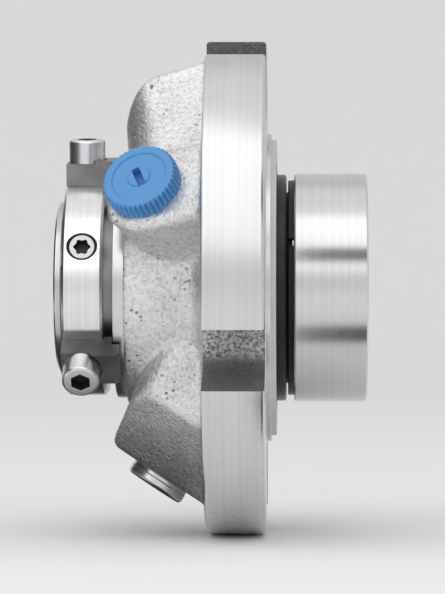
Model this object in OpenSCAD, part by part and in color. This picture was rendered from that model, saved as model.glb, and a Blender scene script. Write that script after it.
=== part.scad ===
// Cartridge mechanical seal for a pump shaft.
// The shaft runs along X: +X points into the pump and -X to the open air.
// X = 0 is the face of the gasket, where the gland meets the seal chamber.
// A piece that is clocked round the shaft is drawn at the top and turned towards -Y.

/* [Shaft and sleeve] */
// Diameter of the pump shaft
shaft_d = 35; // [34:0.5:36]
// Wall of the sleeve
sleeve_wall = 2.7; // [2.4:0.1:3]
// Length of sleeve that stands out of the drive collar
sleeve_end = 2.3; // [2.1:0.1:3]
// Wire of the O-ring on the shaft
shaft_ring_wire = 2.4; // [2:0.1:2.6]

/* [Gland] */
// Outer diameter of the flange
flange_d = 120; // [116:1:126]
// Thickness of the flange
flange_t = 14.5; // [13:0.5:16]
// Rounding of the flange's edges
flange_round = 1.2; // [0.6:0.1:1.6]
// Length of the cast hub behind the flange
hub_l = 19.3; // [18.8:0.1:20.3]
// Step from the lip out to the cast hub
hub_step = 1.6; // [1.2:0.1:2]
// Fillet between the hub and the flange
hub_fillet = 5; // [3:0.5:6]
// Length of the machined lip at the outer end
lip_l = 2.5; // [2.2:0.1:3]
// Wall of the lip round the bush
lip_wall = 2.5; // [2.2:0.1:2.8]
// Height of the raised face that carries the gasket
raised_h = 1.3; // [1:0.1:1.8]
// Land of the raised face outside the gasket
raised_land = 1.4; // [1:0.1:2]
// Radial room between the sleeve and the gland's chamber
chamber_gap = 2.6; // [2.4:0.1:3]

/* [Bolt slots] */
// Number of open slots in the flange
slot_count = 4; // [4]
// Width of a slot
slot_w = 14.5; // [12:0.5:15]
// Distance from the shaft axis to the round end's centre
slot_r = 47; // [46.5:0.5:49]
// Turn of the first slot from the top
slot_turn = 16.1; // [14:0.5:18]
// Radius that the casting leaves free for a nut
nut_r = 8.5; // [7.5:0.1:8.6]
// Depth of the machined seat under each nut
nut_seat_depth = 0.3; // [0.1:0.1:1]

/* [Gasket and stationary ring] */
// Outer diameter of the gasket
gasket_d = 72; // [70:0.5:76]
// Width of the gasket
gasket_w = 5.5; // [5:0.1:6]
// Thickness of the gasket
gasket_t = 1.8; // [1.6:0.1:2.4]
// Depth of its recess in the raised face
gasket_recess = 0.6; // [0.4:0.1:0.8]
// Room between the sleeve and the stationary ring
seat_gap = 1; // [0.8:0.1:1.4]
// Radial width of the stationary ring
seat_w = 6.4; // [6.2:0.1:6.8]
// How far the stationary ring stands out of the gasket
seat_proud = 2.35; // [2:0.05:3]
// Length of the stationary ring's full diameter
seat_l = 9.8; // [9:0.1:10.4]
// Wire of the stationary ring's O-ring
seat_ring_wire = 3.3; // [3:0.1:3.4]
// Diameter of the pin that holds the stationary ring
seat_pin_d = 2.4; // [2:0.1:2.6]

/* [Throttle bush] */
// Radial room between the sleeve and the bush
bush_gap = 0.3; // [0.3:0.05:0.4]
// Wall of the bush
bush_wall = 3.85; // [3.6:0.05:4.2]
// Length of the bush
bush_l = 6.6; // [5:0.1:8]
// Thickness of the snap ring that keeps the bush
bush_clip_t = 1; // [0.8:0.1:1.1]

/* [Rotor] */
// Outer diameter of the rotor cup
rotor_d = 55.6; // [55.2:0.1:57]
// Length of the rotor cup
rotor_l = 17.6; // [17:0.1:20]
// Wall of the rotor cup
rotor_wall = 1.2; // [1:0.1:1.4]
// Gap from the sealing face to the mouth of the cup
mouth_gap = 1.85; // [1.6:0.05:2.2]
// Thickness of the cup's end wall
rotor_end = 7.4; // [7:0.1:8]
// Length of the rotating seal ring
face_l = 8.15; // [8:0.05:8.6]
// Radial room between the ring and the cup
face_gap = 0.4; // [0.3:0.05:0.5]
// Width of the sealing land
land_w = 1.9; // [1.5:0.1:2.2]
// Height of the sealing land
land_h = 0.4; // [0.3:0.05:0.6]
// Travel of the rotating ring against its springs
face_travel = 1.2; // [0.8:0.1:1.5]
// Wire of the rotating ring's O-ring
face_ring_wire = 2.3; // [2:0.1:2.4]
// Thickness of the pusher ring
pusher_t = 1.6; // [1.2:0.1:1.8]
// Number of drive pins
pin_count = 3; // [3]
// Diameter of a drive pin
pin_d = 2.2; // [2:0.1:2.3]
// Turn of the first drive pin from the top
pin_turn = 66; // [60:1:72]

/* [Springs] */
// Springs between two drive pins
springs_per_gap = 3; // [2:1:3]
// Outer diameter of a spring
spring_d = 2.9; // [2.6:0.1:3]
// Wire of a spring
spring_wire = 0.55; // [0.45:0.05:0.6]
// Coils in a spring
spring_coils = 5; // [4:1:6]
// Depth of a spring's pocket
spring_pocket = 3.8; // [3:0.1:4]

/* [Drive collar] */
// Wall of the collar
collar_wall = 5.95; // [5.8:0.05:6.35]
// Width of the collar
collar_l = 9.7; // [9.6:0.1:10.6]
// Gap between the collar and the gland's lip
collar_gap = 2.4; // [2:0.1:3]
// Edge chamfer of the collar
collar_chamfer = 0.6; // [0.3:0.1:1]
// Depth of the flat under a setting clip
flat_depth = 0.8; // [0.5:0.1:1]
// Number of set screws, and of setting clips
screw_count = 3; // [3]
// Turn of the first set screw from the top
set_screw_turn = 68; // [66:1:72]
// Diameter of a set screw
set_screw_d = 6; // [5:0.5:6]

/* [Setting clips] */
// Turn of the first clip from the top
clip_turn = 8; // [6:1:10]
// Width of a clip round the collar
clip_w = 8.7; // [8:0.1:9.5]
// Thickness of a clip under its screw's head
clip_t = 5.3; // [4.8:0.1:5.4]
// Step of the clip's raised end beside the screw's head
clip_step = 0.8; // [0.5:0.1:0.9]
// Reach of the clip's tongue below the collar's surface
tongue_reach = 1.7; // [1.4:0.1:2]
// Diameter of the clip screw's thread
clip_screw_d = 5; // [4:0.5:5]
// Diameter of its head
clip_head_d = 8.8; // [8:0.1:9]
// Height of its head
clip_head_h = 5.7; // [5:0.1:5.8]
// Hexagon socket, across the flats
clip_socket = 4.3; // [3.5:0.1:4.5]

/* [Flush port] */
// Turn of the port from the top
flush_turn = 54.4; // [52:0.5:57]
// Tilt of the port towards the open air
flush_tilt = 17.5; // [15:0.5:20]
// Distance of the port's seat from the gasket face
flush_x = 30.65; // [30:0.05:31]
// Distance of the port's seat from the shaft axis
flush_r = 40.35; // [39.9:0.05:42]
// Half the width of the boss
flush_half = 11; // [10.4:0.1:12]
// Diameter of the moulded plug's cap
cap_d = 18.2; // [17:0.1:19]
// Thickness of the cap
cap_t = 4.5; // [4:0.1:5]
// Number of grip teeth on the cap
cap_teeth = 44; // [36:1:48]
// Length of the key slot in the cap
cap_slot_l = 5.6; // [4:0.1:6]
// Width of the key slot
cap_slot_w = 1.9; // [1.5:0.1:2.5]

/* [Vent port] */
// Turn of the port from the top, away from the front
vent_turn = 12; // [11:0.5:14]
// Tilt of the port towards the open air
vent_tilt = 16; // [14:0.5:18]
// Distance of the port's seat from the gasket face
vent_x = 27.7; // [27.2:0.1:28.2]
// Distance of the port's seat from the shaft axis
vent_r = 52.2; // [51:0.1:53]
// Half the width of the boss
vent_half = 10; // [9:0.1:10.4]

/* [Drain port] */
// Turn of the port from the top
drain_turn = 176; // [174:0.5:177]
// Tilt of the port towards the open air
drain_tilt = 33.2; // [32:0.2:34]
// Distance of the port's seat from the gasket face
drain_x = 28.1; // [27.6:0.1:28.4]
// Distance of the port's seat from the shaft axis
drain_r = 45.95; // [45.5:0.05:46.5]
// Half the width of the boss at the hub
drain_half = 25; // [22:0.5:26]
// Diameter of the steel plug's round flange
drain_cap_d = 15; // [14.2:0.1:15.2]
// Thickness of its flange
drain_cap_t = 2.2; // [1.8:0.1:3]
// Thickness of its sealing washer
drain_washer_t = 1.1; // [0.8:0.1:1.6]

/* [Port bosses] */
// Depth of the bosses below their ports
boss_depth = 34; // [33:1:36]
// Rounding of the bosses' long edges
boss_round = 2.2; // [1.8:0.1:2.4]
// Length of the steep sides below the flush port
flush_side = 16; // [15:0.5:17]
// Rounding of the flush boss's upper outer edge
flush_round = 2.4; // [2:0.1:3]
// Length of the steep sides below the vent port
vent_side = 18; // [17:0.5:19]
// Distance from the vent port to its boss's outer end
vent_nose = 10.8; // [10.6:0.1:11.2]
// Rounding of the vent boss's upper outer edge
vent_round = 14; // [13:0.5:14.5]
// Half the width of the drain boss at its port
drain_pad = 10.5; // [10:0.1:11]
// Length of the tapered sides below the drain port
drain_side = 15; // [14:0.5:16]
// Distance from the drain port to its boss's outer end
drain_nose = 13.9; // [13.6:0.1:14.2]
// Rounding of the drain boss's outer corners
drain_round = 6; // [5:0.5:6.5]

/* [Port threads] */
// Diameter of the port holes
port_d = 13.2; // [12.4:0.1:13.4]
// Depth of the port holes
port_depth = 10; // [9:0.5:11]
// Diameter of the passages from the ports to the chamber
passage_d = 5; // [4:0.5:6]

/* [Hidden] */
$fn = 96;

// Clearances
static_gap = 0.05;
thread_gap = 0.15;
plug_gap = 0.35;
ring_gap = 0.1;
tongue_gap = 0.15;
over_lip_gap = 0.4;
edge_break = 0.4;
cut = 1;

// Places along the shaft
raised_x = gasket_recess - gasket_t;
flange_front = raised_x - raised_h;
flange_back = flange_front - flange_t;
hub_x = flange_back - hub_l;
lip_x = hub_x - lip_l;
collar_front = lip_x - collar_gap;
collar_back = collar_front - collar_l;
collar_mid = (collar_front + collar_back) / 2;
sleeve_x = collar_back - sleeve_end;
rotor_mouth = seat_proud + mouth_gap;
rotor_x = rotor_mouth + rotor_l;
rotor_floor = rotor_x - rotor_end;
face_back = seat_proud + face_l;
pusher_x = face_back + ring_gap;
spring_x = pusher_x + pusher_t;
spring_floor = rotor_floor + spring_pocket;
seat_back = seat_proud - seat_l;
seat_spigot_x = seat_back - seat_ring_wire;
pocket_floor = seat_spigot_x - 2 * ring_gap;
bush_snap_x = lip_x + edge_break + 0.4;
bush_x = bush_snap_x + bush_clip_t + ring_gap;
bush_end = bush_x + bush_l;

// Radii
shaft_r = shaft_d / 2;
sleeve_r = shaft_r + sleeve_wall;
flange_r = flange_d / 2;
gasket_r = gasket_d / 2;
gasket_in = gasket_r - gasket_w;
raised_r = gasket_r + raised_land;
chamber_r = sleeve_r + chamber_gap;
seat_in = sleeve_r + seat_gap;
seat_r = seat_in + seat_w;
pocket_r = seat_r + plug_gap;
spigot_r = pocket_r - seat_ring_wire - 2 * ring_gap;
bush_in = sleeve_r + bush_gap;
bush_r = bush_in + bush_wall;
bush_pocket_r = bush_r + static_gap;
lip_r = bush_pocket_r + lip_wall;
hub_r = lip_r + hub_step;
rotor_r = rotor_d / 2;
rotor_in = rotor_r - rotor_wall;
face_r = rotor_in - face_gap;
face_in = sleeve_r + 0.6;
face_ring_r = sleeve_r + ring_gap + face_ring_wire;
land_in = face_in + 0.6;
pin_r = pin_d / 2;
pin_circle = rotor_in - pin_r - 0.3;
spring_r = spring_d / 2;
spring_circle = (sleeve_r + rotor_in) / 2;
spring_hole_r = spring_r + 0.2;
pusher_r = face_r - 0.4;
pusher_in = sleeve_r + 0.4;
collar_in = sleeve_r + static_gap;
collar_r = collar_in + collar_wall;
flat_r = collar_r - flat_depth;
clip_head_r = clip_head_d / 2;
clip_top = flat_r + clip_t;
clip_screw_r = clip_screw_d / 2;
set_screw_r = set_screw_d / 2;
port_r = port_d / 2;
stem_r = port_r - plug_gap;

// Turns
slot_turns = [for (i = [0:slot_count - 1]) slot_turn + i * 360 / slot_count];
clip_turns = [for (i = [0:screw_count - 1]) clip_turn + i * 360 / screw_count];
set_screw_turns = [for (i = [0:screw_count - 1]) set_screw_turn + i * 360 / screw_count];
pin_turns = [for (i = [0:pin_count - 1]) pin_turn + i * 360 / pin_count];
spring_pitch = 360 / pin_count / (springs_per_gap + 1);
spring_turns = [for (a = pin_turns) for (i = [1:springs_per_gap]) a + i * spring_pitch];

// Points of an arc that rounds the corner b between a and c
function unit(v) = v / norm(v);
function corner(a, b, c, r, steps = 6) =
    let (u = unit(a - b), v = unit(c - b))
    let (half = acos(u * v) / 2)
    let (centre = b + unit(u + v) * r / sin(half))
    let (p = b + u * r / tan(half) - centre, q = b + v * r / tan(half) - centre)
    let (from = atan2(p[1], p[0]), sweep = atan2(p[0] * q[1] - p[1] * q[0], p * q))
    [for (i = [0:steps]) centre + r * [cos(from + sweep * i / steps), sin(from + sweep * i / steps)]];

// An outline of [radius, x] points turned round the shaft
module turned() rotate([0, 90, 0]) rotate_extrude() children();

// Turns children drawn at the top round the shaft, towards the front
module clocked(turn) rotate([turn, 0, 0]) children();

// Moves children to a port: its seat at the origin, its axis along +Z
module at_port(turn, x, r, tilt) clocked(turn) translate([-x, 0, r]) rotate([0, -tilt, 0]) children();

module at_flush() at_port(flush_turn, flush_x, flush_r, flush_tilt) children();

module at_vent() at_port(-vent_turn, vent_x, vent_r, vent_tilt) children();

module at_drain() at_port(drain_turn, drain_x, drain_r, drain_tilt) children();

module ring(inner, outer, from, to) turned()
    translate([inner, from]) square([outer - inner, to - from]);

// Ring with both outer edges chamfered
module chamfered_ring(inner, outer, from, to, chamfer) turned()
    polygon([
        [inner, from], [outer - chamfer, from], [outer, from + chamfer],
        [outer, to - chamfer], [outer - chamfer, to], [inner, to]
    ]);

module o_ring(inner, wire, x) turned() translate([inner + wire / 2, x]) circle(wire / 2, $fn = 32);

// Sector that opens a snap ring
module ring_opening(turn, width, reach, from, to) clocked(turn)
    translate([from, -width / 2, 0]) cube([to - from, width, reach]);

// Upright outline in the boss's own plane, drawn across it
module across(depth) rotate([90, 0, 0]) linear_extrude(depth, center = true) children();

module along(depth) rotate([90, 0, 90]) linear_extrude(depth, center = true) children();

// Cast boss round a port. pad and base are its half widths at the seat and at the hub,
// side is the length of its steep sides, nose is the distance from the port to its outer end,
// and lean is that end's slope.
module port_boss(pad, base, side, nose, lean, nose_round, top_round, edge_round) {
    depth = boss_depth;
    reach = 1.2 * boss_depth;
    foot = [-nose + depth * sin(lean), -depth * cos(lean)];
    tip = [-nose, 0];
    intersection() {
        translate([-nose, 0, 0]) rotate([0, -lean, 0]) translate([0, 0, -1.2 * depth])
            linear_extrude(1.4 * depth)
                polygon(concat(
                    [[reach, -base]], corner([reach, -base], [0, -base], [0, 0], nose_round),
                    corner([0, 0], [0, base], [reach, base], nose_round), [[reach, base]]));
        across(3 * base)
            polygon(concat([[reach, -depth]], [[reach, 0]], corner([reach, 0], tip, foot, top_round), [foot]));
        along(2 * reach)
            polygon(concat(
                [[-base, -depth]], corner([-base, -depth], [-base, -side], [-pad, 0], edge_round),
                corner([-base, -side], [-pad, 0], [pad, 0], edge_round),
                corner([-pad, 0], [pad, 0], [base, -side], edge_round),
                corner([pad, 0], [base, -side], [base, -depth], edge_round), [[base, -depth]]));
    }
}

module bosses() intersection() {
    union() {
        at_flush() port_boss(flush_half, flush_half + 0.6, flush_side, flush_half, 13.5,
            0.95 * flush_half, flush_round, boss_round);
        at_vent() port_boss(vent_half, vent_half + 0.8, vent_side, vent_nose, -11,
            0.95 * vent_half, vent_round, boss_round);
        at_drain() port_boss(drain_pad, drain_half, drain_side, drain_nose, -7,
            drain_round, boss_round, boss_round);
    }
    translate([hub_x - hub_l, -flange_r, -flange_r]) cube([2 * hub_l + flange_t / 2, flange_d, flange_d]);
}

module port_hole() {
    translate([0, 0, -port_depth]) cylinder(port_depth + cut, port_r, port_r);
    translate([0, 0, -boss_depth]) cylinder(boss_depth, passage_d / 2, passage_d / 2, $fn = 32);
}

module bolt_slot(width, from, to) translate([from, 0, slot_r]) rotate([0, 90, 0]) {
    cylinder(to - from, width / 2, width / 2);
    translate([-flange_r, -width / 2, 0]) cube([flange_r, width, to - from]);
}

module gland_body() turned() polygon(concat(
    [[0, lip_x], [lip_r - edge_break, lip_x], [lip_r, lip_x + edge_break], [lip_r, hub_x]],
    corner([lip_r, hub_x], [hub_r, hub_x], [hub_r, flange_back], 0.8),
    corner([hub_r, hub_x], [hub_r, flange_back], [flange_r, flange_back], hub_fillet),
    corner([hub_r, flange_back], [flange_r, flange_back], [flange_r, flange_front], flange_round),
    corner([flange_r, flange_back], [flange_r, flange_front], [raised_r, flange_front], flange_round),
    [[raised_r, flange_front], [raised_r, raised_x], [0, raised_x]]));

module gland_bore() turned() polygon([
    [0, lip_x - cut], [bush_pocket_r, lip_x - cut], [bush_pocket_r, bush_end], [chamber_r, bush_end],
    [chamber_r, pocket_floor], [pocket_r, pocket_floor], [pocket_r, raised_x + cut], [0, raised_x + cut]
]);

module gland() color([0.66, 0.66, 0.65]) difference() {
    union() {
        gland_body();
        bosses();
    }
    gland_bore();
    ring(0, bush_pocket_r + 0.7, bush_snap_x - ring_gap / 2, bush_snap_x + bush_clip_t + ring_gap / 2);
    ring(gasket_in - ring_gap, gasket_r + ring_gap, raised_x - gasket_recess, raised_x + cut);
    for (turn = slot_turns) clocked(turn) {
        bolt_slot(slot_w, flange_back - cut, flange_front + cut);
        bolt_slot(2 * nut_r, hub_x - hub_l, flange_back + nut_seat_depth);
    }
    at_flush() port_hole();
    at_vent() port_hole();
    at_drain() port_hole();
    translate([seat_back, 0, 0]) clocked(90) translate([0, 0, seat_r + 0.2]) rotate([0, 90, 0])
        cylinder(seat_l, seat_pin_d / 2 + static_gap, seat_pin_d / 2 + static_gap, $fn = 32);
}

module gland_gasket() color([0.82, 0.82, 0.8]) ring(gasket_in, gasket_r, raised_x - gasket_recess, 0);

module seat_ring() color([0.07, 0.07, 0.08]) difference() {
    union() {
        chamfered_ring(seat_in, seat_r, seat_back, seat_proud, edge_break);
        ring(seat_in, spigot_r, seat_spigot_x, seat_back + edge_break);
    }
    translate([seat_back - cut, 0, 0]) clocked(90) translate([0, 0, seat_r + 0.2]) rotate([0, 90, 0])
        cylinder(seat_l - seat_proud - 2 + cut, seat_pin_d / 2 + 0.2, seat_pin_d / 2 + 0.2, $fn = 32);
}

module seat_o_ring() color([0.05, 0.05, 0.05])
    o_ring(spigot_r + ring_gap, seat_ring_wire, seat_back - seat_ring_wire / 2 - ring_gap / 2);

module seat_pin() color([0.7, 0.7, 0.7]) translate([seat_back + 0.1, 0, 0]) clocked(90)
    translate([0, 0, seat_r + 0.2]) rotate([0, 90, 0])
        cylinder(seat_l - seat_proud - 2.4, seat_pin_d / 2, seat_pin_d / 2, $fn = 32);

module throttle_bush() color([0.55, 0.42, 0.25])
    chamfered_ring(bush_in, bush_r, bush_x, bush_end, edge_break);

module bush_snap_ring() color([0.35, 0.35, 0.35]) difference() {
    ring(bush_pocket_r - 1.6, bush_pocket_r + 0.6, bush_snap_x, bush_snap_x + bush_clip_t);
    ring_opening(35, 8, lip_r, bush_snap_x - cut, bush_snap_x + bush_clip_t + cut);
}

module drain_plug() color([0.85, 0.85, 0.85]) at_drain() difference() {
    union() {
        translate([0, 0, drain_washer_t]) rotate_extrude() polygon(concat(
            [[0, 0], [drain_cap_d / 2, 0]],
            corner([drain_cap_d / 2, 0], [drain_cap_d / 2, drain_cap_t], [0, drain_cap_t], drain_cap_t * 0.45),
            [[0, drain_cap_t]]));
        translate([0, 0, 1 - port_depth]) cylinder(port_depth + drain_washer_t, stem_r, stem_r);
    }
    translate([0, 0, drain_washer_t + drain_cap_t - 4]) cylinder(5, 3.5, 3.5, $fn = 6);
}

module drain_washer() color([0.9, 0.9, 0.88]) at_drain() difference() {
    cylinder(drain_washer_t, drain_cap_d / 2 - 0.1, drain_cap_d / 2 - 0.1);
    translate([0, 0, -cut]) cylinder(drain_washer_t + 2 * cut, stem_r + 0.15, stem_r + 0.15);
}

module vent_plug() color([0.75, 0.75, 0.75]) at_vent() difference() {
    translate([0, 0, 0.6 - port_depth]) cylinder(port_depth - 3.2, stem_r + 0.2, stem_r + 0.2);
    translate([0, 0, -6.6]) cylinder(6, 3.5, 3.5, $fn = 6);
}

// Outline of the cap's grip: one flat tooth and one notch in each pitch
function grip_outline(r, depth, teeth) = [
    for (i = [0:teeth - 1]) for (p = [[-0.28, 0], [0.28, 0], [0.4, depth], [0.6, depth]])
        (r - p[1]) * [cos((i + p[0]) * 360 / teeth), sin((i + p[0]) * 360 / teeth)]
];

module flush_plug() color([0.3, 0.56, 0.86]) at_flush() difference() {
    union() {
        intersection() {
            linear_extrude(cap_t) polygon(grip_outline(cap_d / 2, 0.5, cap_teeth));
            rotate_extrude() polygon([
                [0, 0], [cap_d / 2 - 0.3, 0], [cap_d / 2, 0.3], [cap_d / 2, cap_t - 0.7],
                [cap_d / 2 - 0.7, cap_t], [0, cap_t]
            ]);
        }
        translate([0, 0, -port_depth + 1]) cylinder(port_depth, stem_r, stem_r);
    }
    translate([0, 0, cap_t - 0.35]) difference() {
        cylinder(cut, cap_d / 2 - 2.5, cap_d / 2 - 2.5);
        translate([0, 0, -cut]) cylinder(3 * cut, 2.7, 2.7, $fn = 48);
    }
    translate([0, 0, cap_t - 2.5]) rotate(21) translate([-cap_slot_w / 2, -cap_slot_l / 2, 0])
        cube([cap_slot_w, cap_slot_l, 3]);
}

module spring_holes() for (turn = spring_turns) clocked(turn)
    translate([rotor_floor - cut, 0, spring_circle]) rotate([0, 90, 0])
        cylinder(spring_pocket + cut, spring_hole_r, spring_hole_r, $fn = 32);

module pin_holes(gap, from, to) for (turn = pin_turns) clocked(turn)
    translate([from, 0, pin_circle]) rotate([0, 90, 0]) cylinder(to - from, pin_r + gap, pin_r + gap, $fn = 32);

module sleeve() color([0.8, 0.8, 0.8]) difference() {
    turned() polygon([
        [shaft_r, sleeve_x], [sleeve_r - edge_break, sleeve_x], [sleeve_r, sleeve_x + edge_break],
        [sleeve_r, rotor_floor], [rotor_in, rotor_floor], [rotor_in, rotor_mouth],
        [rotor_r - edge_break, rotor_mouth], [rotor_r, rotor_mouth + edge_break],
        [rotor_r, rotor_x - edge_break], [rotor_r - edge_break, rotor_x], [shaft_r, rotor_x]
    ]);
    ring(sleeve_r - 0.7, sleeve_r + cut, collar_back - 1.7, collar_back - 0.6);
    ring(shaft_r - cut, shaft_r + shaft_ring_wire + 2 * ring_gap,
        rotor_x - 2 - shaft_ring_wire - 2 * ring_gap, rotor_x - 2);
    spring_holes();
    pin_holes(static_gap, rotor_floor - cut, rotor_floor + 4);
    for (turn = set_screw_turns) clocked(turn) translate([collar_mid, 0, 0])
        cylinder(sleeve_r + cut, set_screw_r + 0.2, set_screw_r + 0.2, $fn = 48);
}

module shaft_o_ring() color([0.05, 0.05, 0.05])
    o_ring(shaft_r + ring_gap, shaft_ring_wire, rotor_x - 2 - shaft_ring_wire / 2 - ring_gap);

module rotary_face() color([0.08, 0.08, 0.09]) difference() {
    turned() polygon([
        [face_in, face_back], [face_in, seat_proud + land_h], [land_in, seat_proud + land_h], [land_in, seat_proud],
        [land_in + land_w, seat_proud], [land_in + land_w, seat_proud + land_h],
        [face_r - edge_break / 2, seat_proud + land_h], [face_r, seat_proud + land_h + edge_break / 2],
        [face_r, face_back]
    ]);
    ring(0, face_ring_r + ring_gap, face_back - face_ring_wire - ring_gap, face_back + cut);
    pin_holes(plug_gap, seat_proud - cut, face_back + cut);
}

module face_o_ring() color([0.05, 0.05, 0.05])
    o_ring(sleeve_r + ring_gap, face_ring_wire, face_back - face_ring_wire / 2);

module pusher_ring() color([0.6, 0.6, 0.6]) difference() {
    ring(pusher_in, pusher_r, pusher_x, spring_x);
    pin_holes(plug_gap, pusher_x - cut, spring_x + cut);
}

// Coil spring swept along a helix: a ring of points at each step, closed at both ends
module coil(length, radius, wire, coils) {
    per_coil = 10;
    sides = 6;
    steps = per_coil * coils;
    rise = length - wire;
    points = [
        for (i = [0:steps]) for (j = [0:sides - 1])
            let (a = i * 360 / per_coil, b = j * 360 / sides)
            let (r = radius - wire / 2 + wire / 2 * cos(b))
            [r * cos(a), r * sin(a), wire / 2 + rise * i / steps + wire / 2 * sin(b)]
    ];
    sweep = [
        for (i = [0:steps - 1]) for (j = [0:sides - 1])
            let (k = (j + 1) % sides)
            [i * sides + j, i * sides + k, (i + 1) * sides + k, (i + 1) * sides + j]
    ];
    start = [for (j = [sides - 1:-1:0]) j];
    end = [for (j = [0:sides - 1]) steps * sides + j];
    polyhedron(points, concat(sweep, [start, end]));
}

module springs() color([0.7, 0.7, 0.72]) for (turn = spring_turns) clocked(turn)
    translate([spring_x, 0, spring_circle]) rotate([0, 90, 0])
        coil(spring_floor - spring_x, spring_r, spring_wire, spring_coils);

module drive_pins() color([0.75, 0.75, 0.75]) pin_holes(0, rotor_mouth - 0.4, rotor_floor + 4);

module drive_collar() color([0.82, 0.82, 0.82]) difference() {
    chamfered_ring(collar_in, collar_r, collar_back, collar_front, collar_chamfer);
    for (turn = clip_turns) clocked(turn) {
        translate([collar_back - cut, -collar_r, flat_r]) cube([collar_l + 2 * cut, 2 * collar_r, flat_depth + cut]);
        translate([collar_mid, 0, 0]) cylinder(collar_r, clip_screw_r + thread_gap, clip_screw_r + thread_gap, $fn = 48);
    }
    for (turn = set_screw_turns) clocked(turn) translate([collar_mid, 0, 0]) {
        cylinder(collar_r + cut, set_screw_r + static_gap, set_screw_r + static_gap, $fn = 48);
        translate([0, 0, collar_r - 0.7]) cylinder(0.7 + cut, set_screw_r, set_screw_r + 0.7 + cut, $fn = 48);
    }
}

module six_lobe(r) {
    circle(r * 0.82, $fn = 48);
    for (a = [0:60:300]) rotate(a) translate([r * 0.74, 0]) circle(r * 0.26, $fn = 24);
}

module collar_set_screws() color([0.6, 0.6, 0.6]) for (turn = set_screw_turns) clocked(turn)
    translate([collar_mid, 0, 0]) difference() {
        translate([0, 0, shaft_r + 0.6]) cylinder(collar_r - shaft_r - 1, set_screw_r, set_screw_r, $fn = 48);
        translate([0, 0, collar_r - 2.8]) linear_extrude(4) six_lobe(2);
    }

module sleeve_snap_ring() color([0.6, 0.6, 0.6]) difference() {
    ring(sleeve_r - 0.6, sleeve_r + 0.7, collar_back - 1.65, collar_back - 0.65);
    ring_opening(-set_screw_turn, collar_r / 4, collar_r, sleeve_x, collar_back);
}

// Stepped clip: it sits on the collar's flat, its tongue fills the gap to the gland's lip,
// and its inner end reaches over the lip
module setting_clip(turn) color([0.42, 0.42, 0.42]) clocked(turn) difference() {
    tongue_from = collar_front + tongue_gap;
    tongue_to = lip_x - tongue_gap;
    tip_x = hub_x - 0.7;
    lip_clear = lip_r + over_lip_gap;
    top = clip_top + clip_step;
    across(clip_w) polygon([
        [collar_back, flat_r], [tongue_from, flat_r], [tongue_from, collar_r - tongue_reach],
        [tongue_to, collar_r - tongue_reach], [tongue_to, lip_clear], [tip_x, lip_clear],
        [tip_x, top - 0.8], [tip_x - 0.8, top], [collar_back, top]
    ]);
    translate([collar_mid, 0, clip_top]) cylinder(top, clip_head_r + 0.4, clip_head_r + 0.4);
    translate([collar_back - cut, -clip_w, clip_top]) cube([cut + collar_l / 2, 2 * clip_w, top]);
    translate([collar_mid, 0, 0])
        cylinder(top, clip_screw_r + thread_gap, clip_screw_r + thread_gap, $fn = 48);
}

module setting_clip_1() setting_clip(clip_turns[0]);

module setting_clip_2() setting_clip(clip_turns[1]);

module setting_clip_3() setting_clip(clip_turns[2]);

// Socket head cap screw: its head stands on the clip and its thread ends in the collar
module clip_screw(turn) color([0.8, 0.8, 0.8]) clocked(turn) translate([collar_mid, 0, 0]) difference() {
    union() {
        translate([0, 0, sleeve_r + 1]) cylinder(clip_top - sleeve_r, clip_screw_r, clip_screw_r, $fn = 48);
        translate([0, 0, clip_top]) rotate_extrude() polygon([
            [0, 0], [clip_head_r, 0], [clip_head_r, clip_head_h - 0.5],
            [clip_head_r - 0.5, clip_head_h], [0, clip_head_h]
        ]);
    }
    translate([0, 0, clip_top + clip_head_h - 3]) rotate(30)
        cylinder(4, clip_socket / sqrt(3), clip_socket / sqrt(3), $fn = 6);
}

module clip_screw_1() clip_screw(clip_turns[0]);

module clip_screw_2() clip_screw(clip_turns[1]);

module clip_screw_3() clip_screw(clip_turns[2]);

gland();
gland_gasket();
seat_ring();
seat_o_ring();
seat_pin();
throttle_bush();
bush_snap_ring();
drain_plug();
drain_washer();
vent_plug();
flush_plug();
sleeve();
shaft_o_ring();
rotary_face();
face_o_ring();
pusher_ring();
springs();
drive_pins();
drive_collar();
collar_set_screws();
sleeve_snap_ring();
setting_clip_1();
setting_clip_2();
setting_clip_3();
clip_screw_1();
clip_screw_2();
clip_screw_3();
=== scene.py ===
from math import atan2, cos, hypot, pi, radians, sin

import bmesh
import bpy
from mathutils import Matrix, Vector, noise


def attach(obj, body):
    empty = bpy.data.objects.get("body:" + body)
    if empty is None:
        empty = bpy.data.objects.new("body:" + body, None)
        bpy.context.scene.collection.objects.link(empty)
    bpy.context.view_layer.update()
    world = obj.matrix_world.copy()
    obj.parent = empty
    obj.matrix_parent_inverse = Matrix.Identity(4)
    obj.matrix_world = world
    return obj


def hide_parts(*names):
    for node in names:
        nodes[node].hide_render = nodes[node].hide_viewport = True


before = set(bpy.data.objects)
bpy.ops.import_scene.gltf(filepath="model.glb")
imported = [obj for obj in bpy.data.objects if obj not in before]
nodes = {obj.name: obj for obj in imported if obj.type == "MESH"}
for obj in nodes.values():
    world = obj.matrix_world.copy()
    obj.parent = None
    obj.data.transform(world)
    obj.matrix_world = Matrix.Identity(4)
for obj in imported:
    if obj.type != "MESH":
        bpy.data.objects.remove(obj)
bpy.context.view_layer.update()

# Gland, 1 of 4: cast skin
# The gland is one steel casting with a flange, a hub and three port bosses.
# Its skin is pebbled and light grey. The hollows of its pebbling and its pits are painted darker, as painted
# shade.


def surface(name, **settings):
    """A material with one Principled shader. settings are the values of its sockets."""
    material = bpy.data.materials.new(name)
    material.use_nodes = True
    sockets = material.node_tree.nodes["Principled BSDF"].inputs
    for key, value in settings.items():
        sockets[key.replace("_", " ")].default_value = value
    return material


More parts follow.
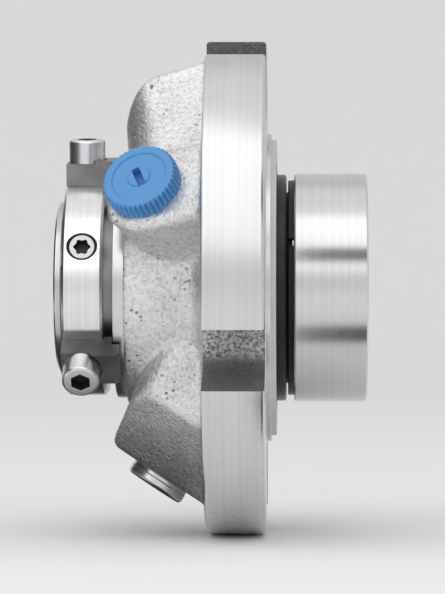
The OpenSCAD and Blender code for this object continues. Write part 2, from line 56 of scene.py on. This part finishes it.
def marked_surface(name, group, **settings):
    """A material with a group of marks beside its shader: the material, its tree, shader and marks."""
    material = surface(name, **settings)
    tree = material.node_tree
    place = tree.nodes.new("ShaderNodeTexCoord")
    marks = tree.nodes.new("ShaderNodeGroup")
    marks.node_tree = group
    tree.links.new(place.outputs["Object"], marks.inputs["Place"])
    return material, tree, tree.nodes["Principled BSDF"], marks


def grey(value):
    """A neutral colour."""
    return (value, value, value, 1)


def marks_group(name, *values):
    """A node group that reads a place and puts out the named values: its tree, place and outputs."""
    tree = bpy.data.node_groups.new(name, "ShaderNodeTree")
    tree.interface.new_socket("Place", in_out="INPUT", socket_type="NodeSocketVector")
    for value in values:
        tree.interface.new_socket(value, in_out="OUTPUT", socket_type="NodeSocketFloat")
    place = tree.nodes.new("NodeGroupInput").outputs["Place"]
    return tree, place, tree.nodes.new("NodeGroupOutput").inputs


def texture(tree, kind, place, **settings):
    """A procedural texture node that reads place."""
    node = tree.nodes.new(kind)
    tree.links.new(place, node.inputs["Vector"])
    for key, value in settings.items():
        node.inputs[key].default_value = value
    return node


def calculate(tree, operation, *operands):
    """A Math node. Each operand is a socket or a number."""
    node = tree.nodes.new("ShaderNodeMath")
    node.operation = operation
    for socket, operand in zip(node.inputs, operands):
        if isinstance(operand, bpy.types.NodeSocket):
            tree.links.new(operand, socket)
        else:
            socket.default_value = operand
    return node.outputs[0]


def spread(tree, value, low, high, to_low=0.0, to_high=1.0):
    """A Map Range node, clamped, with smooth ends."""
    node = tree.nodes.new("ShaderNodeMapRange")
    node.interpolation_type = "SMOOTHSTEP"
    tree.links.new(value, node.inputs["Value"])
    for key, number in (("From Min", low), ("From Max", high), ("To Min", to_low), ("To Max", to_high)):
        node.inputs[key].default_value = number
    return node.outputs["Result"]


def mixed(tree, factor, a, b):
    """A Mix node between two colours. Each of the three may be a socket."""
    node = tree.nodes.new("ShaderNodeMix")
    node.data_type = "RGBA"
    for socket, operand in ((node.inputs[0], factor), (node.inputs[6], a), (node.inputs[7], b)):
        if isinstance(operand, bpy.types.NodeSocket):
            tree.links.new(operand, socket)
        else:
            socket.default_value = operand
    return node.outputs[2]


def clouded(tree, marks, darker, paler, low=0.35, high=0.65):
    """A colour that drifts in soft clouds between two greys."""
    return mixed(tree, spread(tree, marks.outputs["Clouds"], low, high), grey(darker), grey(paler))


def coloured(tree, principled, marks, colour, depth):
    """Gives the shader its colour, and a bump of depth metres from the marks' height."""
    tree.links.new(colour, principled.inputs["Base Color"])
    bump = tree.nodes.new("ShaderNodeBump")
    bump.inputs["Distance"].default_value = depth
    tree.links.new(marks.outputs["Height"], bump.inputs["Height"])
    tree.links.new(bump.outputs["Normal"], principled.inputs["Normal"])


# Marks of cast metal: a pebbled height, a mask of its pits, and soft clouds
cast_marks, place, out = marks_group("cast marks", "Height", "Pits", "Clouds")
pebbles = texture(cast_marks, "ShaderNodeTexNoise", place, Scale=1700.0, Detail=2.0, Roughness=0.55)
lumps = texture(cast_marks, "ShaderNodeTexNoise", place, Scale=900.0, Detail=2.0, Roughness=0.5)
holes = texture(cast_marks, "ShaderNodeTexVoronoi", place, Scale=620.0, Randomness=1.0)
where = texture(cast_marks, "ShaderNodeTexNoise", place, Scale=120.0, Detail=1.0)
clouds = texture(cast_marks, "ShaderNodeTexNoise", place, Scale=40.0, Detail=3.0, Roughness=0.6)
pits = calculate(
    cast_marks, "MULTIPLY",
    spread(cast_marks, holes.outputs["Distance"], 0.08, 0.28, 1.0, 0.0),
    spread(cast_marks, where.outputs[0], 0.5, 0.68, 0.0, 0.85),
)
height = calculate(
    cast_marks, "ADD",
    calculate(cast_marks, "MULTIPLY", pebbles.outputs[0], 0.6),
    calculate(cast_marks, "MULTIPLY", lumps.outputs[0], 0.5),
)
cast_marks.links.new(calculate(cast_marks, "SUBTRACT", height, pits), out["Height"])
cast_marks.links.new(pits, out["Pits"])
cast_marks.links.new(clouds.outputs[0], out["Clouds"])

cast_steel, tree, principled, marks = marked_surface(
    "cast steel", cast_marks, Metallic=1.0, Roughness=0.52, IOR=1.5
)
# Painted shade: the hollows of the pebbling are painted darker, and the pits darker still.
crests = clouded(tree, marks, 0.8, 0.9)
hollow_shade = clouded(tree, marks, 0.54, 0.7, 0.4, 0.6)
skin = mixed(tree, spread(tree, marks.outputs["Height"], 0.36, 0.66), hollow_shade, crests)
skin = mixed(tree, marks.outputs["Pits"], skin, grey(0.25))
coloured(tree, principled, marks, skin, 0.00028)

# Gland, 2 of 4: machined skin
# Turned faces show fine lines round the shaft axis. The walls of the slots are left as cast
# and painted shade darkens them towards the rim.


def sum_of_squares(tree, a, b):
    """The sum of the squares of two sockets."""
    return calculate(tree, "ADD", calculate(tree, "MULTIPLY", a, a), calculate(tree, "MULTIPLY", b, b))


def apart(tree, place):
    """The X, Y and Z of a place."""
    node = tree.nodes.new("ShaderNodeSeparateXYZ")
    tree.links.new(place, node.inputs[0])
    return node.outputs


# Marks of a lathe: fine lines, wider streaks, and smudges from handling
LINES_PER_METRE = 9000.0
turned_marks, place, out = marks_group("turned marks", "Height", "Streaks", "Smudges")
x, y, z = apart(turned_marks, place)
radius = calculate(turned_marks, "SQRT", sum_of_squares(turned_marks, y, z))
angle = calculate(turned_marks, "ARCTAN2", y, z)
lathe = turned_marks.nodes.new("ShaderNodeCombineXYZ")
for axis, value, scale in (("X", x, LINES_PER_METRE), ("Y", radius, LINES_PER_METRE), ("Z", angle, 0.6)):
    turned_marks.links.new(calculate(turned_marks, "MULTIPLY", value, scale), lathe.inputs[axis])
lines = texture(turned_marks, "ShaderNodeTexNoise", lathe.outputs[0], Scale=1.0, Detail=1.0)
streaks = texture(turned_marks, "ShaderNodeTexNoise", lathe.outputs[0], Scale=0.12, Detail=2.0)
smudges = texture(turned_marks, "ShaderNodeTexNoise", place, Scale=90.0, Detail=3.0)
turned_marks.links.new(lines.outputs[0], out["Height"])
turned_marks.links.new(streaks.outputs[0], out["Streaks"])
turned_marks.links.new(smudges.outputs[0], out["Smudges"])


def turned_metal(name, colour, roughness):
    """A metal turned on a lathe, with its fine lines and light smudges."""
    material, tree, principled, marks = marked_surface(name, turned_marks, Metallic=1.0, IOR=1.5)
    streak = tuple(0.92 * channel for channel in colour[:3]) + (1,)
    shade = mixed(tree, spread(tree, marks.outputs["Streaks"], 0.3, 0.7), streak, colour)
    handled = spread(tree, marks.outputs["Smudges"], 0.3, 0.7, roughness * 0.94, roughness * 1.08)
    tree.links.new(handled, principled.inputs["Roughness"])
    coloured(tree, principled, marks, shade, 0.00001)
    return material


turned_steel = turned_metal("turned steel", grey(0.72), 0.28)

# Distances from the shaft axis between which painted shade darkens the slot walls, in metres
SLOT_SHADE_FROM, SLOT_SHADE_TO = 0.0405, 0.0435
slot_skin, tree, principled, marks = marked_surface(
    "slot wall", cast_marks, Metallic=0.6, Roughness=0.6, IOR=1.5
)
place = apart(tree, marks.inputs["Place"].links[0].from_socket)
shade_to_rim = spread(
    tree, sum_of_squares(tree, place["Y"], place["Z"]), SLOT_SHADE_FROM ** 2, SLOT_SHADE_TO ** 2
)
# Painted shade: the walls turn near black towards the rim, and their pebble hollows are painted darker.
wall = mixed(tree, shade_to_rim, clouded(tree, marks, 0.62, 0.82), grey(0.14))
wall = mixed(tree, spread(tree, marks.outputs["Height"], 0.42, 0.66), grey(0.2), wall)
coloured(tree, principled, marks, wall, 0.0005)

# Gland, 3 of 4: the casting
# The gland is filled where it is bored, melted into one skin and smoothed, so that the bosses
# run into the hub and the flange with the soft corners of a casting. Sizes are in mm.

SHELL, MACHINED, SLOT = 0, 1, 2
GLAND_SKINS = (cast_steel, turned_steel, slot_skin)
ROUND_SHAFT = Matrix.Rotation(radians(90), 4, "Y")


def along_port(turn, x, r, tilt):
    """The matrix that moves a shape drawn on +Z to a port of the gland."""
    return (
        Matrix.Rotation(radians(turn), 4, "X")
        @ Matrix.Translation((-x, 0, r))
        @ Matrix.Rotation(radians(-tilt), 4, "Y")
    )


FLUSH = along_port(54.4, 30.65, 40.35, 17.5)
VENT = along_port(-12, 27.7, 52.2, 16)
DRAIN = along_port(176, 28.1, 45.95, 33.2)


def cad_copy(node):
    """The CAD node's mesh as a bmesh in mm, with its vertices merged."""
    bm = bmesh.new()
    bm.from_mesh(nodes[node].data)
    bmesh.ops.scale(bm, vec=(1000, 1000, 1000), verts=bm.verts)
    bmesh.ops.remove_doubles(bm, verts=bm.verts, dist=0.0005)
    bmesh.ops.dissolve_degenerate(bm, edges=bm.edges, dist=0.0005)
    return bm


def placed(name, bm, finishes):
    """Makes a bmesh an object of the scene, with these finishes."""
    obj = bpy.data.objects.new(name, bpy.data.meshes.new(name))
    for material in finishes:
        obj.data.materials.append(material)
    bm.to_mesh(obj.data)
    bm.free()
    bpy.context.scene.collection.objects.link(obj)
    return obj


def solid(name, bm, finishes=GLAND_SKINS):
    """A working solid in mm, with outward normals."""
    bmesh.ops.recalc_face_normals(bm, faces=bm.faces)
    return placed(name, bm, finishes)


def turned(name, outline, skin=SHELL, steps=144, place=ROUND_SHAFT):
    """A working solid: a closed outline of (radius, height) spun round Z and moved to place."""
    bm = bmesh.new()
    corners = [bm.verts.new((radius, 0, height)) for radius, height in outline]
    sides = [
        bm.edges.new(pair) for pair in zip(corners, corners[1:] + corners[:1])
        if max(corner.co.x for corner in pair) > 0
    ]
    bmesh.ops.spin(
        bm, geom=corners + sides, cent=(0, 0, 0), axis=(0, 0, 1), dvec=(0, 0, 0), angle=2 * pi,
        steps=steps, use_merge=True, use_duplicate=False,
    )
    bmesh.ops.remove_doubles(bm, verts=bm.verts, dist=0.0001)
    bmesh.ops.transform(bm, matrix=place, verts=bm.verts)
    for face in bm.faces:
        face.material_index = skin
    return solid(name, bm)


def raised(name, outline, depth, place, skin=SHELL):
    """A working solid: a closed outline of (x, y) raised by depth along Z and moved to place."""
    bm = bmesh.new()
    base = bm.faces.new([bm.verts.new((x, y, 0)) for x, y in outline])
    top = bmesh.ops.extrude_face_region(bm, geom=[base])["geom"]
    top = [part for part in top if isinstance(part, bmesh.types.BMVert)]
    bmesh.ops.translate(bm, vec=(0, 0, depth), verts=top)
    bmesh.ops.transform(bm, matrix=place, verts=bm.verts)
    for face in bm.faces:
        face.material_index = skin
    return solid(name, bm)


def changed(obj, kind, **settings):
    """Applies one modifier of that kind to an object."""
    modifier = obj.modifiers.new(kind, kind)
    for key, value in settings.items():
        setattr(modifier, key, value)
    done = bpy.data.meshes.new_from_object(obj.evaluated_get(bpy.context.evaluated_depsgraph_get()))
    obj.modifiers.clear()
    obj.data = done


def worked(obj, operation, other):
    """Adds another solid to an object, cuts it out, or keeps what they share. The other is used up."""
    changed(obj, "BOOLEAN", operation=operation, solver="MANIFOLD", object=other)
    bpy.data.objects.remove(other)


def cleared(obj):
    """Clears an object in mm of the slivers that a cut or a bevel leaves."""
    bm = bmesh.new()
    bm.from_mesh(obj.data)
    bmesh.ops.remove_doubles(bm, verts=bm.verts, dist=0.0002)
    bmesh.ops.dissolve_degenerate(bm, edges=bm.edges, dist=0.0002)
    bm.to_mesh(obj.data)
    bm.free()


casting = solid("casting", cad_copy("gland"))
for place, wide, top in ((FLUSH, 7.5, 0), (VENT, 6.7, -2.4), (DRAIN, 7.5, 0)):
    fill = turned("fill", [(0, -11), (wide, -11), (wide, top), (0, top)], steps=48, place=place)
    worked(casting, "UNION", fill)
core = turned("core", [(0, -36.3), (27, -36.3), (27, -2.6), (0, -2.6)], steps=96)
worked(casting, "UNION", core)
changed(casting, "REMESH", mode="VOXEL", voxel_size=0.6, adaptivity=0.0)
changed(casting, "SMOOTH", factor=0.5, iterations=12)
outward = [vertex.normal.copy() for vertex in casting.data.vertices]
for vertex, normal in zip(casting.data.vertices, outward):
    wide_drift = noise.noise(vertex.co * 0.16) * 0.09
    small_drift = noise.noise(vertex.co * 0.45 + Vector((9, 4, 7))) * 0.04
    vertex.co += normal * (wide_drift + small_drift)
for polygon in casting.data.polygons:
    polygon.material_index = SHELL
cast_part = turned("cast part", [(0, -36.1), (34, -36.1), (48, -50), (59.7, -50), (59.7, -14), (0, -14)])
worked(casting, "INTERSECT", cast_part)

# Gland, 4 of 4: the machined faces
# The flange, its raised face and the lip are turned, then the bores, ports and slots are cut.
# The four open slots let the gland slip over its studs.


def seated(obj, name, body, node):
    """Brings a working solid to metres. It rides body and stands for the CAD node."""
    obj.name = name
    obj.data.transform(Matrix.Scale(0.001, 4))
    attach(obj, body)
    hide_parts(node)


flange = turned("flange", [
    (20, -16.9), (59.4, -16.9), (59.75, -16.75), (59.93, -16.45), (60, -16.1), (60, -3.3),
    (59.9, -2.9), (59.6, -2.6), (59.2, -2.5), (37.6, -2.5), (37.4, -2.3), (37.4, -1.35),
    (37.25, -1.2), (20, -1.2),
], MACHINED, steps=240)
worked(casting, "UNION", flange)
lip = turned("lip", [
    (20, -38.8), (26.5, -38.8), (26.8, -38.68), (26.9, -38.4), (26.9, -36), (27.6, -35), (20, -35),
], MACHINED)
worked(casting, "UNION", lip)
bore = turned("bore", [
    (0, -39.8), (25.05, -39.8), (25.05, -38.5), (24.4, -38.3), (24.4, -30), (22.8, -30),
    (22.8, -10.95), (27.95, -10.95), (27.95, -1.8), (36.1, -1.8), (36.1, 1), (0, 1),
], MACHINED)
worked(casting, "DIFFERENCE", bore)
for place in (FLUSH, VENT, DRAIN):
    port = [(0, -10), (6.6, -10), (6.6, 0), (7.1, 0.5), (7.1, 3), (0, 3)]
    worked(casting, "DIFFERENCE", turned("port", port, MACHINED, 64, place))

SLOT_HALF, SLOT_CENTRE, FIRST_SLOT = 7.25, 47, 16.1
slot_outline = [
    (SLOT_HALF * cos(pi * i / 32), SLOT_CENTRE - SLOT_HALF * sin(pi * i / 32)) for i in range(33)
] + [(-SLOT_HALF, 64), (SLOT_HALF, 64)]
# Stands the outline across the shaft, just behind the flange
from_back = Matrix(((0, 0, 1, -17.8), (1, 0, 0, 0), (0, 1, 0, 0), (0, 0, 0, 1)))
for number in range(4):
    turned_to = Matrix.Rotation(radians(FIRST_SLOT + 90 * number), 4, "X")
    worked(casting, "DIFFERENCE", raised("slot", slot_outline, 18, turned_to @ from_back, SLOT))
cleared(casting)
casting.data.shade_smooth()
casting.data.set_sharp_from_angle(angle=radians(35))
seated(casting, "gland_casting", "gland_unit", "gland")

# Stationary seal ring
# Lapped silicon carbide, nearly black, with a dull sheen. It is pressed on its O-ring in the gland.


def edged(node, body, finishes, width=0.15, inner=None):
    """A copy of a CAD node with its sharp edges broken by width, in mm.

    inner tells for a face's centre and normal whether the second finish covers it."""
    bm = cad_copy(node)
    bmesh.ops.dissolve_limit(
        bm, angle_limit=radians(0.5), verts=bm.verts, edges=bm.edges, use_dissolve_boundaries=False
    )
    obj = solid(node + " copy", bm, finishes)
    if inner:
        for polygon in obj.data.polygons:
            polygon.material_index = 1 if inner(polygon.center, polygon.normal) else 0
    changed(obj, "BEVEL", width=width, segments=2, limit_method="ANGLE", angle_limit=radians(28))
    cleared(obj)
    obj.data.shade_smooth()
    changed(obj, "WEIGHTED_NORMAL", weight=100, keep_sharp=False)
    seated(obj, node + "_shown", body, node)


lapped = surface("lapped carbide", Base_Color=grey(0.008), Roughness=0.3, IOR=1.45)
edged("seat_ring", "gland_unit", [lapped])

# Rotating seal ring
# Carbon graphite, dull black, held in the rotor cup by the drive pins and pushed out by the springs.

carbon = surface("carbon", Base_Color=grey(0.01), Roughness=0.4, IOR=1.35)
edged("rotary_face", "seal_face", [carbon], width=0.1)

# Gasket
# Pale fibre sheet with a fine speckle, laid in its recess in the raised face.

sheet, tree, principled, marks = marked_surface("gasket sheet", cast_marks, Roughness=0.75)
coloured(tree, principled, marks, clouded(tree, marks, 0.62, 0.72), 0.00005)
edged("gland_gasket", "gland_unit", [sheet], width=0.12)

# Sleeve and rotor cup
# One turned steel piece. Fine lathe lines run round it, and its edges are lightly broken.
# The part that runs inside the gland and in the gap before the collar is rougher, and painted darker as
# painted shade.

rotor_steel = turned_metal("rotor steel", grey(0.72), 0.24)
# Painted shade for the sleeve inside the gland and in the gap.
sleeve_shade_steel = turned_metal("sleeve painted shade", grey(0.36), 0.4)
edged(
    "sleeve", "rotor", [rotor_steel, sleeve_shade_steel], width=0.12,
    inner=lambda spot, normal: -50 < spot[0] < 7 and hypot(spot[1], spot[2]) < 20.5,
)

# Drive collar
# Turned steel ring with three flats for the clips and three threaded holes for the set screws.
# The holes and the sockets of the screws are painted dark, as painted shade.

SCREW_PLANE = -46.05
SET_SCREW_TURNS = (68, 188, 308)
collar_steel = turned_metal("collar steel", grey(0.84), 0.28)
# Painted shade for the holes and the screw sockets.
painted_hole_shade = surface("painted hole shade", Base_Color=grey(0.05), Metallic=0.6, Roughness=0.45)


def from_screw_line(spot, turn, x=SCREW_PLANE):
    """A spot's distance from the radial line at x with that turn, and its height along the line."""
    across = Matrix.Rotation(radians(-turn), 3, "X") @ Vector((spot[0] - x, spot[1], spot[2]))
    return hypot(across[0], across[1]), across[2]


def in_threaded_hole(spot, normal):
    """True on the walls and countersinks of the collar's three threaded holes."""
    for turn in SET_SCREW_TURNS:
        away, height = from_screw_line(spot, turn)
        upright = from_screw_line(normal, turn, 0)[1]
        if away < 3.9 and height > 0 and upright < 0.9:
            return True
    return False


edged(
    "drive_collar", "rotor", [collar_steel, painted_hole_shade], width=0.12,
    inner=in_threaded_hole,
)

# Set screws of the collar
# Steel screws with a six-lobe socket, a little darker than the collar, with painted shade in the socket.

screw_steel = surface("screw steel", Base_Color=grey(0.55), Metallic=1.0, Roughness=0.3)


def in_socket(spot, turns, reach, low, high):
    """True within reach of one of the radial lines, between the heights low and high."""
    for turn in turns:
        away, height = from_screw_line(spot, turn)
        if away < reach and low < height < high:
            return True
    return False


edged(
    "collar_set_screws", "rotor", [screw_steel, painted_hole_shade], width=0.12,
    inner=lambda spot, normal: in_socket(spot, SET_SCREW_TURNS, 2.1, 23, 25.75),
)

# Setting clips
# Three stepped steel clips with a dull grey skin. A cap screw holds each one to the collar.

clip_steel, tree, principled, marks = marked_surface("clip steel", cast_marks, Metallic=0.9, Roughness=0.4)
coloured(tree, principled, marks, clouded(tree, marks, 0.1, 0.3, 0.3, 0.7), 0.00008)
for number in (1, 2, 3):
    edged(f"setting_clip_{number}", f"clip_{number}", [clip_steel], width=0.2)

# Cap screws of the clips
# Bright steel socket head screws, with painted shade in their sockets. Their threads end in the collar.

cap_steel = surface("cap screw steel", Base_Color=grey(0.76), Metallic=1.0, Roughness=0.28)
for number, turn in ((1, 8), (2, 128), (3, 248)):
    edged(
        f"clip_screw_{number}", f"clip_{number}", [cap_steel, painted_hole_shade],
        inner=lambda spot, normal: in_socket(spot, [turn], 2.55, 33, 36.35),
    )

# Moulded plug of the flush port
# Blue plastic cap with rounded grip teeth, a sunk ring on its face and a slot for a key.
# It only closes the port until the seal is fitted.


def clad(obj, material):
    """Gives an object this one finish in place of its others."""
    obj.data.materials.clear()
    obj.data.materials.append(material)


blue = surface("blue plastic", Base_Color=(0.085, 0.29, 0.62, 1), Roughness=0.38)
TEETH = 44
STEPS_PER_TOOTH = 8
# Radius and height of the stem, the rim and the face, and how deep the grip is cut at each height
cap_outline = [
    (0, -9), (6.25, -9), (6.25, 0), (8.5, 0), (8.7, 0.02), (8.95, 0.25), (9.09, 0.6), (9.09, 3.4),
    (9, 3.95), (8.82, 4.28), (8.55, 4.45), (8.25, 4.5), (6.95, 4.5), (6.75, 4.47), (6.62, 4.3),
    (6.55, 4.15), (2.85, 4.15), (2.75, 4.3), (2.68, 4.46), (2.5, 4.5), (0, 4.5),
]
grip_depth = {0.02: 0.1, 0.25: 0.4, 0.6: 0.62, 3.4: 0.62, 3.95: 0.55, 4.28: 0.36, 4.45: 0.14}
cap = turned("cap", cap_outline, steps=STEPS_PER_TOOTH * TEETH, place=Matrix())
for vertex in cap.data.vertices:
    depth = grip_depth.get(round(vertex.co.z, 2), 0)
    wave = 0.5 - 0.5 * cos(TEETH * atan2(vertex.co.y, vertex.co.x))
    inward = Vector((-vertex.co.x, -vertex.co.y, 0)).normalized()
    vertex.co += inward * depth * wave ** 1.6
cap.data.transform(FLUSH)
key_place = FLUSH @ Matrix.Translation((0, 0, 2)) @ Matrix.Rotation(radians(21), 4, "Z")
key = raised("key slot", [(-0.95, -2.8), (0.95, -2.8), (0.95, 2.8), (-0.95, 2.8)], 4, key_place)
worked(cap, "DIFFERENCE", key)
clad(cap, blue)
cleared(cap)
cap.data.shade_smooth()
cap.data.set_sharp_from_angle(angle=radians(40))
seated(cap, "flush_cap", "transport_plug", "flush_plug")

# Drain plug and its washer
# Turned steel plug with a round flange over a thin sealing washer.

edged("drain_plug", "gland_unit", [cap_steel])
edged("drain_washer", "gland_unit", [rotor_steel], width=0.2)

# Pieces inside
# The O-rings are rubber, the bush is bronze, and the springs, pins and rings are steel.
# They keep their CAD form.

rubber = surface("rubber", Base_Color=grey(0.015), Roughness=0.6)
bronze = turned_metal("bronze", (0.62, 0.42, 0.22, 1), 0.35)
wire = surface("spring wire", Base_Color=grey(0.6), Metallic=1.0, Roughness=0.3)
for material, held in (
    (rubber, ("seat_o_ring", "shaft_o_ring", "face_o_ring")),
    (bronze, ("throttle_bush",)),
    (wire, ("springs", "bush_snap_ring", "sleeve_snap_ring")),
    (screw_steel, ("seat_pin", "drive_pins", "pusher_ring", "vent_plug")),
):
    for node in held:
        clad(nodes[node], material)

# Studio
# The pale table runs back and up into the backdrop. An even sky and one softbox light the seal,
# and four dark cards show in its metal. The camera stands level with the shaft, 0.73 m away.

TABLE = -0.0603
CARD_LOW = -0.0585
profile = [(-2.0, 0.0), (1.0, 0.0)]
profile += [(1.0 + 0.6 * sin(pi * i / 24), 0.6 - 0.6 * cos(pi * i / 24)) for i in range(1, 13)]
profile += [(1.6, 2.6)]
bm = bmesh.new()
edge = [bm.verts.new((-2.5, y, z + TABLE)) for y, z in profile]
edge = [bm.edges.new(pair) for pair in zip(edge, edge[1:])]
far_edge = bmesh.ops.extrude_edge_only(bm, edges=edge)["geom"]
far_edge = [part for part in far_edge if isinstance(part, bmesh.types.BMVert)]
bmesh.ops.translate(bm, vec=(5, 0, 0), verts=far_edge)
pale = surface("pale floor", Base_Color=grey(0.88), Roughness=1.0, Specular_IOR_Level=0.0)
floor = placed("floor", bm, [pale])
floor.data.shade_smooth()


def dark_card(name, corners, shadow=False):
    """A black card that turned metal mirrors as a dark line. The camera doesn't see it.

    With shadow it also keeps the softbox's light off what lies behind it."""
    bm = bmesh.new()
    bm.faces.new([bm.verts.new(corner) for corner in corners])
    card = placed(name, bm, [surface(name, Base_Color=grey(0.03), Roughness=0.9)])
    card.visible_camera = card.visible_diffuse = False
    card.visible_shadow = shadow


dark_card("low flag", [
    (0.004, -0.088, CARD_LOW), (0.06, -0.088, CARD_LOW), (0.06, -0.055, CARD_LOW), (0.004, -0.055, CARD_LOW),
])
dark_card("hub flag", [
    (-0.25, -0.036, CARD_LOW), (-0.022, -0.036, CARD_LOW), (-0.022, 0.09, CARD_LOW), (-0.25, 0.09, CARD_LOW),
])
dark_card("side flag", [
    (-0.32, -0.3, -0.05), (-0.32, 0.35, -0.05), (-0.32, 0.35, 0.25), (-0.32, -0.3, 0.25),
])
dark_card("rotor flag", [
    (0.003, -0.0678, 0.0262), (0.035, -0.0678, 0.0262), (0.035, -0.0602, 0.0378), (0.003, -0.0602, 0.0378),
], shadow=True)

sky = bpy.data.worlds.new("studio")
bpy.context.scene.world = sky
sky.use_nodes = True
tree = sky.node_tree
direction = tree.nodes.new("ShaderNodeTexCoord").outputs["Generated"]
ramp = tree.nodes.new("ShaderNodeValToRGB")
tree.links.new(apart(tree, direction)["Z"], ramp.inputs[0])
stops = ramp.color_ramp.elements
for height, value in ((0.3, 0.72), (0.8, 0.76), (0.95, 0.9)):
    stops.new(height).color = grey(value)
stops[0].color = grey(0.72)
stops[-1].color = grey(0.9)
tree.links.new(ramp.outputs["Color"], tree.nodes["Background"].inputs["Color"])
tree.nodes["Background"].inputs["Strength"].default_value = 1.0


def stood(obj, place, aim):
    """Stands a lamp or the camera at place, turned towards aim."""
    obj.location = place
    obj.rotation_euler = (Vector(aim) - Vector(place)).to_track_quat("-Z", "Y").to_euler()
    bpy.context.scene.collection.objects.link(obj)


softbox = bpy.data.lights.new("softbox", "AREA")
softbox.shape = "RECTANGLE"
softbox.size, softbox.size_y = 1.3, 0.95
softbox.energy = 2.6
stood(bpy.data.objects.new("softbox", softbox), (-0.15, -0.54, 0.59), (0, 0, 0))

camera = bpy.data.objects.new("camera", bpy.data.cameras.new("camera"))
stood(camera, (0.0049, -0.733, 0.0), (-0.0133, 0, -0.0023))
camera.data.lens = 181.7
camera.data.sensor_fit = "AUTO"
camera.data.sensor_width = 36
bpy.context.scene.camera = camera
bpy.context.scene.view_settings.view_transform = "Standard"
